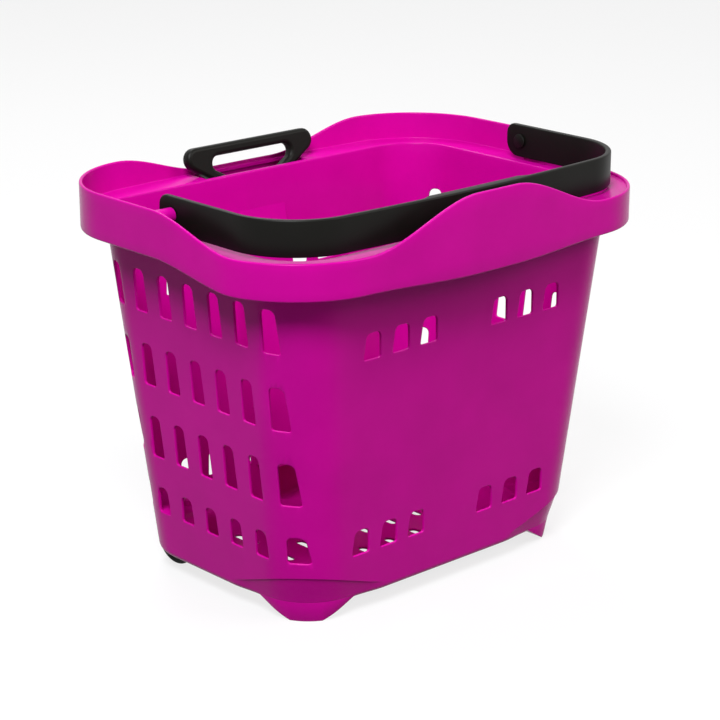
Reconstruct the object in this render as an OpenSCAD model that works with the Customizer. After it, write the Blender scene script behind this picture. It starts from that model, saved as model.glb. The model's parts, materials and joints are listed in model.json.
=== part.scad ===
// Rolling shopping basket: a moulded tub with a wavy rim, a carry handle that swings,
// a pull handle that draws out in two stages, and two wheels at the back.
// Millimetres. The origin is the bottom centre, +Z is up and the front is -Y.

/* [Rim] */
// Overall length of the rim, along X
rim_length = 520; // [490:5:570]
// Overall width of the rim, along Y
rim_width = 384; // [370:2:430]
// Corner radius of the rim in plan
rim_corner = 90; // [78:1:100]
// Bow of the long sides of the rim
long_bow = 12; // [6:1:14]
// Bow of the short sides of the rim
short_bow = 4; // [2:1:6]
// Height of the rim edge at the front corners
rim_low = 382; // [360:1:430]
// Rise of the crest in the middle of the front
crest_rise = 38; // [25:1:50]
// Rise of the level stretch along the sides and the back
side_rise = 25.5; // [18:0.5:30]
// Depth of the skirt below the rim edge at the front corners
skirt_depth = 36; // [25:1:45]
// Lift of the skirt's lower edge along the sides and the back
skirt_lift = 15; // [5:1:18]
// Sag of the skirt's lower edge in the middle of the front
skirt_sag = 5; // [0:1:10]
// Thickness of the rim band
band_wall = 3.5; // [2.5:0.1:4.5]
// Drop of the ledge below the rim edge at the front corners
ledge_drop = 3.5; // [3:0.5:8]

/* [Tub] */
// Outer length of the tub under the ledge
tub_top_length = 456; // [440:2:460]
// Outer width of the tub under the ledge
tub_top_width = 317; // [310:1:320]
// Outer length of the tub at its base
tub_base_length = 386; // [376:2:396]
// Outer width of the tub at its base
tub_base_width = 260; // [252:2:268]
// Corner radius of the tub wall in plan
tub_corner = 56; // [48:1:62]
// Thickness of the wall, the ledge and the floor
wall = 3; // [2.4:0.1:3.6]
// Height of the underside of the floor
floor_lift = 17; // [14:1:22]
// Rounding of the bottom edge
base_round = 7; // [5:0.5:10]
// Height of the crease over the front feet, at the corners
crease_height = 50; // [44:1:54]
// Step of the wall at the crease
crease_step = 1.2; // [0.6:0.1:1.6]

/* [Slots] */
// Width of the slots in the short sides
side_slot_w = 18; // [12:0.5:22]
// Pitch of the slots in the short sides
side_pitch = 38; // [34:1:40]
// Width of the slots in the long sides
long_slot_w = 22; // [14:0.5:26]
// Pitch of the slots in the long sides
long_pitch = 37; // [32:1:40]
// Radius of the upper corners of the slots in the walls
slot_top_round = 6; // [3:0.5:7]
// Radius of the lower corners of the slots in the walls
slot_low_round = 2.5; // [1.5:0.1:4]
// Width of the drain slots in the floor
drain_w = 9; // [6:0.5:12]
// Length of the drain slots in the floor
drain_l = 34; // [20:1:38]

/* [Carry handle] */
// Height of the flat band
band_height = 35; // [30:0.5:38]
// Thickness of the flat band
band_thick = 6; // [4.5:0.1:7]
// Distance from the outer face of the rim to the outer face of the band
band_inset = 22; // [20:0.5:23]
// Gap between the ledge and the lower edge of the band
band_gap = 3.5; // [2.5:0.1:6]
// Length of the heel behind each pivot
heel_length = 19; // [17:0.5:20]
// Diameter of the pivot pins
pivot_d = 8; // [6:0.5:9]
// Length of the thicker hand hold in the middle of the band
hold_length = 130; // [90:2:160]

/* [Pull handle] */
// Lean of the rods from the upright
rod_lean = 12; // [10:0.5:13]
// Distance from the rods, at the ledge, to the outer face of the back rim
rod_setback = 22.5; // [20:0.5:24]
// Width of the lower rod
sleeve_w = 36; // [32:0.5:38]
// Thickness of the lower rod
sleeve_t = 10; // [9:0.1:11]
// Wall of the lower rod
sleeve_wall = 1.6; // [1.2:0.1:1.9]
// Length of the lower rod
sleeve_length = 277; // [240:1:280]
// Width of the upper rod
bar_w = 27; // [22:0.5:28]
// Thickness of the upper rod
bar_t = 4.4; // [4:0.1:4.8]
// Width of the grip over all
grip_width = 170; // [140:1:180]
// Thickness of the grip
grip_t = 12; // [9:0.5:13]
// Height of the grip above the ledge, along the rods
grip_rise = 31; // [26:0.5:36]

/* [Wheels] */
// Diameter of the tyres
wheel_d = 58; // [54:1:60]
// Width of the tyres
wheel_w = 20; // [16:0.5:22]
// Distance from the end of the tub's base to the middle of each tyre
wheel_inset = 29; // [26:1:32]
// Distance from the back of the tub's base to the axles
axle_inset = 36; // [34:1:40]
// Diameter of the axles
axle_d = 8; // [6:0.5:9]

/* [Hidden] */
$fn = 48;

// Colours
magenta = [0.74, 0.05, 0.55];
black = [0.10, 0.10, 0.09];
grey = [0.2, 0.2, 0.2];
rubber = [0.06, 0.06, 0.06];
steel = [0.75, 0.76, 0.78];

// Clearances: a running fit on a pin, a sliding fit, a seat between fixed pieces
run_gap = 0.06;
slide_gap = 0.3;
seat_gap = 0.1;
// Reach of a cutter past the faces that it cuts
past = 1;

// Steps along the outlines and the rounded base
corner_steps = 8;
long_steps = 20;
short_steps = 10;
round_steps = 3;

// The wave of the rim: where each rise begins and ends
side_foot_y = -112;
side_full_y = 5;
crest_foot_x = 160;
crest_full_x = 25;
dip_foot_x = 165;
dip_full_x = 45;
edge_round = 1.3;

ledge_z = rim_low - ledge_drop;
ledge_under = ledge_z - wall;
floor_z = floor_lift + wall;
inner_round = base_round - wall;

function ease(u) = let (v = min(1, max(0, u))) v * v * (3 - 2 * v);
function side_wave(p) = ease((p.y - side_foot_y) / (side_full_y - side_foot_y));
function crest_wave(p) =
    p.y < 0 ? ease((crest_foot_x - abs(p.x)) / (crest_foot_x - crest_full_x)) : 0;
function dip_wave(p) =
    p.y > 0 ? ease((dip_foot_x - abs(p.x)) / (dip_foot_x - dip_full_x)) : 0;
function rim_edge(p) = rim_low + side_rise * (side_wave(p) - dip_wave(p)) + crest_rise * crest_wave(p);
function skirt_edge(p) = rim_low - skirt_depth + skirt_lift * side_wave(p) - skirt_sag * crest_wave(p);

// Outlines: rounded rectangles with a fixed count of points, so that they can be lofted
function between(p, q, n) = [for (i = [1 : n - 1]) p + (q - p) * i / n];
function arc(c, r, start) =
    [for (i = [0 : corner_steps]) let (t = start + 90 * i / corner_steps) c + r * [cos(t), sin(t)]];
function outline(a, b, r) = let (u = a - r, v = b - r) concat(
    arc([u, v], r, 0), between([u, b], [-u, b], long_steps),
    arc([-u, v], r, 90), between([-a, v], [-a, -v], short_steps),
    arc([-u, -v], r, 180), between([-u, -b], [u, -b], long_steps),
    arc([u, -v], r, 270), between([a, -v], [a, v], short_steps));
function bowed(points, a, b, bow_x, bow_y) = [for (p = points)
    [p.x * (1 + bow_x / a * (1 - pow(p.y / b, 2))), p.y * (1 + bow_y / b * (1 - pow(p.x / a, 2)))]];

rim_a = rim_length / 2 - short_bow;
rim_b = rim_width / 2 - long_bow;
function rim_plan(inset) = bowed(outline(rim_a - inset, rim_b - inset, rim_corner - inset),
    rim_a - inset, rim_b - inset, short_bow, long_bow);

function share(z) = (z - floor_lift) / (ledge_under - floor_lift);
function half_length(z) = (tub_base_length + (tub_top_length - tub_base_length) * share(z)) / 2;
function half_width(z) = (tub_base_width + (tub_top_width - tub_base_width) * share(z)) / 2;
function wall_plan(z, inset) = outline(half_length(z) - inset, half_width(z) - inset, tub_corner - inset);

function level(points, z) = [for (p = points) [p.x, p.y, z]];
function raised(points, heights) = [for (i = [0 : len(points) - 1]) [points[i].x, points[i].y, heights[i]]];

edge_heights = [for (p = rim_plan(0)) rim_edge(p)];
shoulder_heights = [for (h = edge_heights) h - edge_round];
skirt_heights = [for (p = rim_plan(0)) skirt_edge(p)];

// The outer wall from the middle of the underside up to the ledge, or a skin that deep inside it
function outer_rings(depth) = concat(
    [for (i = [0 : round_steps]) let (t = 90 * i / round_steps, z = floor_lift + base_round * (1 - cos(t)))
        level(wall_plan(z, depth + base_round * (1 - sin(t))), z + depth)],
    [level(wall_plan(ledge_under, depth), ledge_under)]);
// The band: down inside the skirt, up the outer face, over the edge and down to the ledge
band_rings = [
    level(rim_plan(band_wall), ledge_under),
    raised(rim_plan(band_wall), skirt_heights),
    raised(rim_plan(0), skirt_heights),
    raised(rim_plan(0), shoulder_heights),
    raised(rim_plan(edge_round), edge_heights),
    raised(rim_plan(band_wall - edge_round), edge_heights),
    raised(rim_plan(band_wall), shoulder_heights),
    level(rim_plan(band_wall), ledge_z)];
// The inside, from the ledge down to the floor
inner_rings = concat(
    [level(wall_plan(ledge_z, wall), ledge_z)],
    [for (i = [round_steps : -1 : 0]) let (t = 90 * i / round_steps, z = floor_z + inner_round * (1 - cos(t)))
        level(wall_plan(z, wall + inner_round * (1 - sin(t))), z)]);

// Closed skin through rings of equal length, from the first cap to the last
module loft(rings) {
    n = len(rings[0]);
    last = (len(rings) - 1) * n;
    skin = [for (k = [0 : len(rings) - 2], i = [0 : n - 1])
        let (a = k * n + i, b = k * n + (i + 1) % n) each [[a, a + n, b], [b, a + n, b + n]]];
    first_cap = [for (i = [0 : n - 1]) i];
    last_cap = [for (i = [n - 1 : -1 : 0]) last + i];
    polyhedron([for (r = rings) each r], concat([first_cap], skin, [last_cap]));
}

// A block given by its lowest and highest corners
module block(low, high) {
    translate(low) cube(high - low);
}

// A rectangle with round corners, centred
module round_rect(w, h, r) {
    square([w, h - 2 * r], center = true);
    square([w - 2 * r, h], center = true);
    for (x = [-1, 1], y = [-1, 1]) translate([x * (w / 2 - r), y * (h / 2 - r)]) circle(r);
}

// Slots in the walls
side_columns = [-3 : 3];
side_rows = [[307, 44], [229, 44], [151, 44], [81, 28]];
long_columns = [1.3, 2.3, 3.3];
long_rows = [[282, 27], [79, 26]];
slot_taper = 0.85;
slot_reach = 24;
drain_columns = [-3 : 3];
drain_rows = [-1 : 1];
drain_pitch_x = 36;
drain_pitch_y = 56;

// Upright slot, a little narrower at the top, that cuts along Y
module slot(w, h) {
    rotate([90, 0, 0])
        hull()
            for (s = [-1, 1], v = [-1, 1]) {
                r = v < 0 ? slot_low_round : slot_top_round;
                half = w * (v < 0 ? 1 : slot_taper) / 2;
                translate([s * (half - r), v * (h / 2 - r), 0])
                    cylinder(r = r, h = slot_reach, center = true, $fn = v < 0 ? 4 : 12);
            }
}

module slots() {
    for (row = side_rows, column = side_columns, s = [-1, 1])
        translate([s * half_length(row[0]), column * side_pitch, row[0]])
            rotate([0, 0, 90]) slot(side_slot_w, row[1]);
    for (row = long_rows, column = long_columns, sx = [-1, 1], sy = [-1, 1])
        translate([sx * column * long_pitch, sy * half_width(row[0]), row[0]])
            slot(long_slot_w, row[1]);
    for (i = drain_columns, j = drain_rows)
        translate([i * drain_pitch_x, j * drain_pitch_y, floor_lift])
            hull()
                for (s = [-1, 1])
                    translate([0, s * (drain_l - drain_w) / 2, -past])
                        cylinder(d = drain_w, h = wall + 2 * past, $fn = 8);
}

// Front feet: under a crease that slopes down from each corner, the wall steps in and goes on to the floor
crease_slope = 0.36;
foot_reach = 34;
foot_ramp = 28;
foot_taper = 5;
foot_top = floor_lift + base_round;
foot_sink = 0.3;
// The space under the sloping crease of one corner, out to a margin round the tub: the crease falls with
// the distances from the end and from the front, which add up to corner_sum in the middle of the corner
module toe_space() {
    margin = 2 * base_round;
    corner_sum = (2 - sqrt(2)) * tub_corner;
    apex = crease_height + crease_slope * (corner_sum + 2 * margin);
    leg = apex / crease_slope;
    x = tub_base_length / 2 + margin;
    y = -tub_base_width / 2 - margin;
    polyhedron([[x, y, 0], [x - leg, y, 0], [x, y + leg, 0], [x, y, apex]],
        [[0, 2, 1], [0, 1, 3], [0, 3, 2], [1, 2, 3]]);
}
// What the step takes off the walls, but not off the flat of the floor
module toe_cut() {
    flat = wall_plan(floor_lift, crease_step + base_round);
    difference() {
        for (s = [0, 1]) mirror([s, 0, 0]) toe_space();
        loft(outer_rings(crease_step));
        loft([level(flat, -past), level(flat, floor_lift + base_round)]);
    }
}
module feet() {
    x = tub_base_length / 2;
    y = -tub_base_width / 2;
    intersection() {
        loft([level(wall_plan(floor_lift, crease_step + foot_taper), 0),
              level(wall_plan(foot_top, crease_step + foot_sink), foot_top)]);
        for (s = [0, 1])
            mirror([s, 0, 0])
                hull() {
                    block([x - foot_reach, 2 * y, 0], [2 * x, y + foot_reach, past]);
                    block([x - foot_reach - foot_ramp, 2 * y, floor_lift],
                          [2 * x, y + foot_reach + foot_ramp, foot_top]);
                }
    }
}

// Wheel housings: pockets in the back corners, open below, with a slot in the wall for each tyre
wheel_x = tub_base_length / 2 - wheel_inset;
wheel_y = tub_base_width / 2 - axle_inset;
house_gap = 5;
house_side = 14;
house_inner_x = wheel_x - wheel_w / 2 - house_side;
house_front_y = wheel_y - wheel_d / 2 - house_gap;
house_roof_z = wheel_d + house_gap;
house_corner = 12;
screw_d = 3;
screw_hole_d = 3.6;
screw_boss_d = 9;
screw_boss_h = 9;
bracket_screw_y = 12;
module housing_space(grow) {
    translate([house_inner_x - grow, 0, 0])
        rotate([90, 0, 90])
            linear_extrude(height = tub_base_length) {
                translate([house_front_y - grow + house_corner, -past])
                    square([tub_base_width, house_roof_z + grow + past]);
                translate([house_front_y - grow, -past])
                    square([house_corner + past, house_roof_z + grow - house_corner + past]);
                translate([house_front_y - grow + house_corner, house_roof_z + grow - house_corner])
                    circle(house_corner, $fn = 32);
            }
}

// What one wheel takes out of the tub: the pocket inside the walls, its mouth and the slot for the tyre
mouth_inset = wall + 2;
tyre_gap = 3;
module wheel_cut() {
    intersection() {
        housing_space(0);
        loft(outer_rings(wall));
    }
    intersection() {
        housing_space(0);
        mouth = wall_plan(floor_lift, mouth_inset);
        loft([level(mouth, -past), level(mouth, floor_z + base_round)]);
    }
    translate([wheel_x, wheel_y, wheel_d / 2])
        rotate([0, 90, 0]) cylinder(r = wheel_d / 2 + tyre_gap, h = wheel_w + 2 * tyre_gap, center = true);
}

// Screw positions of one wheel bracket
module at_bracket_screws() {
    for (s = [-1, 1]) translate([wheel_x, wheel_y + s * bracket_screw_y, house_roof_z]) children();
}

// The channel of the pull handle: its frame stands on the rods' axis at the ledge
rod_y = rim_width / 2 - rod_setback;
module on_rods() {
    translate([0, rod_y, ledge_z]) rotate([-rod_lean, 0, 0]) children();
}
// Heights along the rods, down from the ledge
neck_low = -29;
collar_h = 25;
collar_flange = 3;
sleeve_top = neck_low - collar_flange - slide_gap;
sleeve_low = sleeve_top - sleeve_length;
sleeve_foot_h = 22;
sleeve_foot_base = 3;
plug_h = 5;
bar_foot_h = 20;
bar_foot_base = 1.5;
bar_low = sleeve_low + plug_h + 2 * bar_foot_base;
bar_into_grip = 24;
guide_length = 30;
guide_top = sleeve_top - collar_flange;
guide_low = guide_top - guide_length;
channel_low = sleeve_low - 2 * sleeve_foot_base;
cover_t = 2;
cover_low = channel_low + cover_t;
// Half widths and depths across the rods
ear = 2;
seat_w = 8;
channel_half = sleeve_w / 2 + slide_gap + ear;
channel_depth = sleeve_t / 2 + slide_gap;
channel_reach = 70;
seat_half = channel_half + seat_w;
cover_screw_x = channel_half + seat_w / 2;
cover_screw_rows = 3;
cover_screw_end = 18;
cover_screw_l = 11;
guide_crown = 4;

// Solid that carries the channel: it swells into the tub lower down and out of it higher up
module channel_block() {
    outer_half = seat_half + wall;
    inner_face = -channel_depth - wall;
    on_rods() block([-outer_half, inner_face, channel_low - wall],
                    [outer_half, channel_depth + cover_t, guide_top]);
    intersection() {
        loft(outer_rings(wall / 2));
        on_rods()
            block([-outer_half, inner_face, channel_low - wall], [outer_half, channel_reach, guide_top]);
    }
}
module channel_cut() {
    on_rods() {
        block([-channel_half, -channel_depth, channel_low], [channel_half, channel_reach, guide_top + past]);
        block([-seat_half, channel_depth, channel_low], [seat_half, channel_reach, guide_top + past]);
        at_cover_screws() cylinder(d = screw_hole_d, h = 2 * cover_screw_l, center = true, $fn = 10);
    }
}
// Screw positions of the cover and, in the topmost row, of the guide
module at_cover_screws() {
    first = cover_low + cover_screw_end;
    step = (guide_low - cover_screw_end - first) / (cover_screw_rows - 1);
    rows = concat([for (i = [0 : cover_screw_rows - 1]) first + i * step], [guide_low + guide_length / 2]);
    for (w = rows, s = [-1, 1])
        translate([s * cover_screw_x, channel_depth, w]) rotate([90, 0, 0]) children();
}

// Opening in the ledge through which the grip drops into the back rim
well_tuck = 16;
well_half = grip_width / 2 - well_tuck;
well_margin = 4;
module grip_well() {
    block([-well_half, half_width(ledge_z) + past, ledge_under - past],
          [well_half, rim_width / 2 - band_wall - well_margin, ledge_z + past]);
}

// Pivots of the carry handle
band_low = ledge_z + band_gap;
pivot_z = band_low + band_height / 2;
band_a = rim_length / 2 - band_inset;
band_b = rim_width / 2 - long_bow - band_inset;
band_corner = rim_corner - band_inset;
boss_d = 15;
boss_out = rim_length / 2 - band_wall / 2;
boss_web_gap = 2;
pin_hole_gap = 0.3;
pin_into_boss = 12;
pin_head_t = 2.2;
pin_head_d = 15;
module pivot_bosses() {
    for (s = [-1, 1]) {
        translate([s * (band_a + 2 * slide_gap), 0, pivot_z])
            rotate([0, s * 90, 0]) cylinder(d = boss_d, h = boss_out - band_a, $fn = 24);
        mirror([s < 0 ? 1 : 0, 0, 0])
            block([band_a + boss_web_gap, -wall / 2, ledge_z - past], [boss_out, wall / 2, pivot_z]);
    }
}
module pivot_holes() {
    for (s = [-1, 1])
        translate([s * band_a, 0, pivot_z])
            rotate([0, s * 90, 0])
                cylinder(d = pivot_d + 2 * pin_hole_gap, h = pin_into_boss + past, $fn = 24);
}

// Gussets between the wall and the skirt, under the ledge
gusset_t = 2;
gusset_drop = 14;
module gussets() {
    x_out = rim_length / 2 - band_wall / 2 - short_bow;
    for (s = [-1, 1], y = [-2 : 2])
        mirror([s < 0 ? 1 : 0, 0, 0])
            block([half_length(ledge_under - gusset_drop) - wall / 4, y * side_pitch - gusset_t / 2,
                   ledge_under - gusset_drop],
                  [x_out, y * side_pitch + gusset_t / 2, ledge_under + wall / 2]);
    y_out = rim_width / 2 - band_wall / 2 - long_bow;
    for (s = [-1, 1], x = [-4 : 4])
        if (s < 0 || abs(x) > 1)
            mirror([0, s < 0 ? 1 : 0, 0])
                block([x * long_pitch - gusset_t / 2, half_width(ledge_under - gusset_drop) - wall / 4,
                       ledge_under - gusset_drop],
                      [x * long_pitch + gusset_t / 2, y_out, ledge_under + wall / 2]);
}

module basket_body() color(magenta)
    difference() {
        union() {
            difference() {
                loft(concat(outer_rings(0), band_rings, inner_rings));
                toe_cut();
            }
            difference() {
                feet();
                loft(outer_rings(wall / 2));
            }
            intersection() {
                loft(outer_rings(wall / 2));
                for (s = [0, 1]) mirror([s, 0, 0]) housing_space(wall);
            }
            for (s = [0, 1])
                mirror([s, 0, 0])
                    at_bracket_screws() translate([0, 0, wall / 2])
                        cylinder(d = screw_boss_d, h = screw_boss_h - wall / 2, $fn = 16);
            channel_block();
            pivot_bosses();
            gussets();
        }
        slots();
        channel_cut();
        grip_well();
        pivot_holes();
        for (s = [0, 1]) mirror([s, 0, 0]) {
            wheel_cut();
            at_bracket_screws()
                cylinder(d = screw_hole_d, h = 2 * screw_boss_h - wall, center = true, $fn = 10);
        }
    }

// Path of the carry handle's band in plan, from one heel round the front to the other
function band_path(inset) = let (a = band_a - inset, b = band_b - inset, r = band_corner - inset)
    bowed(concat([[-a, heel_length]], arc([r - a, r - b], r, 180),
        between([r - a, -b], [a - r, -b], long_steps), arc([a - r, r - b], r, 270), [[a, heel_length]]),
        a, b, 0, long_bow);
module band_plan(first, last) {
    inner = band_path(last);
    polygon(concat(band_path(first), [for (i = [len(inner) - 1 : -1 : 0]) inner[i]]));
}
heel_top_round = 9;
heel_low_round = 15;
hold_extra = 5;
// Side view of one arm: the heel stays clear of the ledge as it turns, until its top corner stops it
module heel_profile() {
    half = band_height / 2;
    translate([-rim_width, -half]) square([rim_width + heel_length - heel_low_round, band_height]);
    translate([-rim_width, -half + heel_low_round])
        square([rim_width + heel_length, band_height - heel_low_round - heel_top_round]);
    translate([-rim_width, 0]) square([rim_width + heel_length - heel_top_round, half]);
    translate([heel_length - heel_low_round, heel_low_round - half]) circle(heel_low_round);
    translate([heel_length - heel_top_round, half - heel_top_round]) circle(heel_top_round);
}
module carry_handle() color(black)
    difference() {
        intersection() {
            translate([0, 0, band_low])
                linear_extrude(height = band_height) {
                    band_plan(0, band_thick);
                    intersection() {
                        band_plan(band_thick / 2, band_thick + hold_extra);
                        translate([-hold_length / 2, -rim_width]) square([hold_length, rim_width]);
                    }
                }
            translate([-rim_length / 2, 0, pivot_z])
                rotate([90, 0, 90]) linear_extrude(height = rim_length) heel_profile();
        }
        translate([-rim_length / 2, 0, pivot_z])
            rotate([0, 90, 0]) cylinder(d = pivot_d + 2 * run_gap, h = rim_length);
    }

// Pin with a flat head inside the arm and its shank in the boss of the rim
module pivot_pin() color(black) {
    head_face = band_a - band_thick - slide_gap;
    translate([head_face - pin_head_t, 0, pivot_z])
        rotate([0, 90, 0]) {
            cylinder(d = pin_head_d, h = pin_head_t);
            cylinder(d = pivot_d, h = pin_head_t + band_thick + 2 * slide_gap + pin_into_boss);
        }
}
module pivot_pin_left() mirror([1, 0, 0]) pivot_pin();
module pivot_pin_right() pivot_pin();

// Plate that closes the channel over the rods
rib_h = 1.5;
rib_end = 10;
module channel_cover() color(black)
    on_rods()
        difference() {
            union() {
                block([-seat_half + slide_gap, channel_depth + seat_gap, cover_low],
                      [seat_half - slide_gap, channel_depth + cover_t, guide_low - seat_gap]);
                // Two stiffening ribs along the plate
                for (s = [-1, 1])
                    translate([s * sleeve_w / 4, channel_depth, 0])
                        block([-cover_t / 2, cover_t / 2, cover_low + rib_end],
                              [cover_t / 2, cover_t + rib_h, guide_low - rib_end]);
            }
            at_cover_screws() cylinder(d = screw_hole_d, h = 4 * cover_t, center = true);
        }

// Saddle at the top of the channel: its cheeks stop the ears of the lower rod's foot
module top_guide() color(black)
    on_rods()
        difference() {
            union() {
                block([-seat_half + slide_gap, channel_depth + seat_gap, guide_low],
                      [seat_half - slide_gap, channel_depth + guide_crown, guide_top]);
                block([-channel_half + seat_gap, seat_gap - channel_depth, guide_low],
                      [channel_half - seat_gap, channel_depth + guide_crown, guide_top]);
            }
            block([-sleeve_w / 2 - slide_gap, -sleeve_t, guide_low - past],
                  [sleeve_w / 2 + slide_gap, channel_depth, guide_top + past]);
            at_cover_screws() {
                cylinder(d = screw_hole_d, h = 4 * guide_crown, center = true);
                translate([0, 0, -cover_t - 4 * guide_crown])
                    cylinder(d = cover_head_d + 2 * slide_gap, h = 4 * guide_crown);
            }
        }

// Pan-head screws of the cover and, in counterbores, of the guide
cover_head_d = 6.4;
cover_head_t = 2;
module cover_screws() color(steel)
    on_rods()
        at_cover_screws()
            translate([0, 0, -cover_t - seat_gap - cover_head_t]) {
                cylinder(d = cover_head_d, h = cover_head_t);
                cylinder(d = screw_d, h = cover_head_t + cover_t + cover_screw_l - past);
            }

sleeve_bore_w = sleeve_w - 2 * sleeve_wall;
sleeve_bore_t = sleeve_t - 2 * sleeve_wall;
sleeve_round = 2;
module lower_rod() color(black)
    on_rods()
        translate([0, 0, sleeve_low])
            linear_extrude(height = sleeve_length)
                difference() {
                    round_rect(sleeve_w, sleeve_t, sleeve_round);
                    square([sleeve_bore_w, sleeve_bore_t], center = true);
                }

// Plug in the lower end of the sleeve, with ears that run in the channel
module lower_rod_foot() color(black)
    on_rods() {
        block([-sleeve_bore_w / 2 + seat_gap, -sleeve_bore_t / 2 + seat_gap, sleeve_low - sleeve_foot_base],
              [sleeve_bore_w / 2 - seat_gap, sleeve_bore_t / 2 - seat_gap, sleeve_low + plug_h]);
        for (s = [0, 1])
            mirror([s, 0, 0])
                block([sleeve_w / 2 + seat_gap, -sleeve_t / 2, sleeve_low - sleeve_foot_base],
                      [channel_half - slide_gap, sleeve_t / 2, sleeve_low + sleeve_foot_h]);
        block([slide_gap - channel_half, -sleeve_t / 2, sleeve_low - sleeve_foot_base],
              [channel_half - slide_gap, sleeve_t / 2, sleeve_low - seat_gap]);
    }

// Bush in the mouth of the sleeve
module rod_collar() color(black)
    on_rods()
        difference() {
            union() {
                block([-sleeve_bore_w / 2 + seat_gap, -sleeve_bore_t / 2 + seat_gap, sleeve_top - collar_h],
                      [sleeve_bore_w / 2 - seat_gap, sleeve_bore_t / 2 - seat_gap, sleeve_top + past]);
                translate([0, 0, sleeve_top + seat_gap])
                    linear_extrude(height = collar_flange - seat_gap)
                        round_rect(sleeve_w, sleeve_t, sleeve_round);
            }
            block([-bar_w / 2 - slide_gap, -bar_t / 2 - slide_gap, sleeve_top - collar_h - past],
                  [bar_w / 2 + slide_gap, bar_t / 2 + slide_gap, sleeve_top + collar_flange + past]);
        }

// Flat bar from its foot in the sleeve up into the grip
bar_top = neck_low + bar_into_grip;
bar_round = 1;
module upper_rod() color(steel)
    on_rods()
        difference() {
            translate([0, 0, bar_low])
                linear_extrude(height = bar_top - bar_low) round_rect(bar_w, bar_t, bar_round);
            at_grip_pins() cylinder(d = grip_pin_d + 2 * seat_gap, h = 2 * grip_t, center = true);
            translate([0, 0, bar_low + bar_foot_h / 2])
                rotate([90, 0, 0]) cylinder(d = foot_key_d + 2 * seat_gap, h = 2 * grip_t, center = true);
        }

// Glide on the lower end of the bar, keyed through it
foot_key_d = 5;
module upper_rod_foot() color(black)
    on_rods() {
        difference() {
            block([slide_gap - sleeve_bore_w / 2, slide_gap - sleeve_bore_t / 2, bar_low - bar_foot_base],
                  [sleeve_bore_w / 2 - slide_gap, sleeve_bore_t / 2 - slide_gap, bar_low + bar_foot_h]);
            block([-bar_w / 2 - seat_gap, -bar_t / 2 - seat_gap, bar_low - seat_gap],
                  [bar_w / 2 + seat_gap, bar_t / 2 + seat_gap, bar_low + bar_foot_h + past]);
        }
        translate([0, 0, bar_low + bar_foot_h / 2])
            rotate([90, 0, 0]) cylinder(d = foot_key_d, h = sleeve_bore_t - 2 * slide_gap, center = true);
    }

// Grip: a loop that narrows to the neck on the upper rod
grip_bar = 12;
grip_end_r = 12;
neck_half = 22;
neck_height = 24;
shoulder_half = 30;
shoulder_rise = 22;
hole_half = 53;
hole_low_half = 33;
hole_height = 27;
hole_corner = 8;
grip_pin_d = 4;
grip_pin_x = 8;
module grip_outline() {
    top = grip_rise - grip_end_r;
    hull() {
        for (s = [-1, 1]) {
            translate([s * (grip_width / 2 - grip_end_r), top]) circle(grip_end_r, $fn = 32);
            translate([s * shoulder_half, neck_low + shoulder_rise]) circle(grip_end_r, $fn = 32);
        }
    }
    translate([-neck_half, neck_low]) square([2 * neck_half, neck_height]);
}
module grip_hole() {
    top = grip_rise - grip_bar - hole_corner;
    hull()
        for (s = [-1, 1]) {
            translate([s * (hole_half - hole_corner), top]) circle(hole_corner, $fn = 32);
            translate([s * (hole_low_half - hole_corner), top - hole_height + 2 * hole_corner])
                circle(hole_corner, $fn = 32);
        }
}
module at_grip_pins() {
    for (s = [-1, 1])
        translate([s * grip_pin_x, 0, neck_low + bar_into_grip / 2]) rotate([90, 0, 0]) children();
}
module pull_grip() color(black)
    on_rods()
        difference() {
            rotate([90, 0, 0])
                linear_extrude(height = grip_t, center = true)
                    difference() {
                        grip_outline();
                        grip_hole();
                    }
            block([-bar_w / 2 - seat_gap, -bar_t / 2 - seat_gap, neck_low - past],
                  [bar_w / 2 + seat_gap, bar_t / 2 + seat_gap, bar_top + seat_gap]);
            at_grip_pins() cylinder(d = grip_pin_d + 2 * seat_gap, h = 2 * grip_t, center = true);
        }
module grip_pins() color(steel)
    on_rods()
        at_grip_pins() cylinder(d = grip_pin_d, h = grip_t, center = true);

// Wheels, turning on fixed axles
hub_w = wheel_w + 2;
tyre_t = 6.5;
hub_core_d = 17;
hub_rim_t = 3.5;
hub_web_t = 5;
web_holes = 5;
web_edge = 1;
groove = 1.2;
module at_wheel() {
    translate([wheel_x, wheel_y, wheel_d / 2]) rotate([0, 90, 0]) children();
}
module wheel_hub() color(grey)
    at_wheel() {
        rim_r = wheel_d / 2 - tyre_t;
        web_hole_d = rim_r - hub_rim_t - hub_core_d / 2 - web_edge;
        difference() {
            union() {
                cylinder(d = hub_core_d, h = hub_w, center = true);
                cylinder(r = rim_r, h = hub_web_t, center = true);
                difference() {
                    cylinder(r = rim_r, h = wheel_w, center = true);
                    cylinder(r = rim_r - hub_rim_t, h = wheel_w + past, center = true);
                }
            }
            cylinder(d = axle_d + 2 * run_gap, h = hub_w + past, center = true);
            for (i = [0 : web_holes - 1])
                rotate([0, 0, i * 360 / web_holes])
                    translate([(hub_core_d / 2 + rim_r - hub_rim_t) / 2, 0, 0])
                        cylinder(d = web_hole_d, h = wheel_w, center = true);
        }
    }
module wheel_hub_left() mirror([1, 0, 0]) wheel_hub();
module wheel_hub_right() wheel_hub();

// Tyre: a ring with round shoulders and two grooves in the tread
shoulder = 3;
module tyre() color(rubber)
    at_wheel()
        rotate_extrude($fn = 64)
            difference() {
                translate([wheel_d / 2 - tyre_t / 2 + seat_gap / 2, 0])
                    round_rect(tyre_t - seat_gap, wheel_w, shoulder);
                for (s = [-1, 1])
                    translate([wheel_d / 2, s * wheel_w / 6]) square([2 * groove, groove], center = true);
            }
module tyre_left() mirror([1, 0, 0]) tyre();
module tyre_right() tyre();

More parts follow.
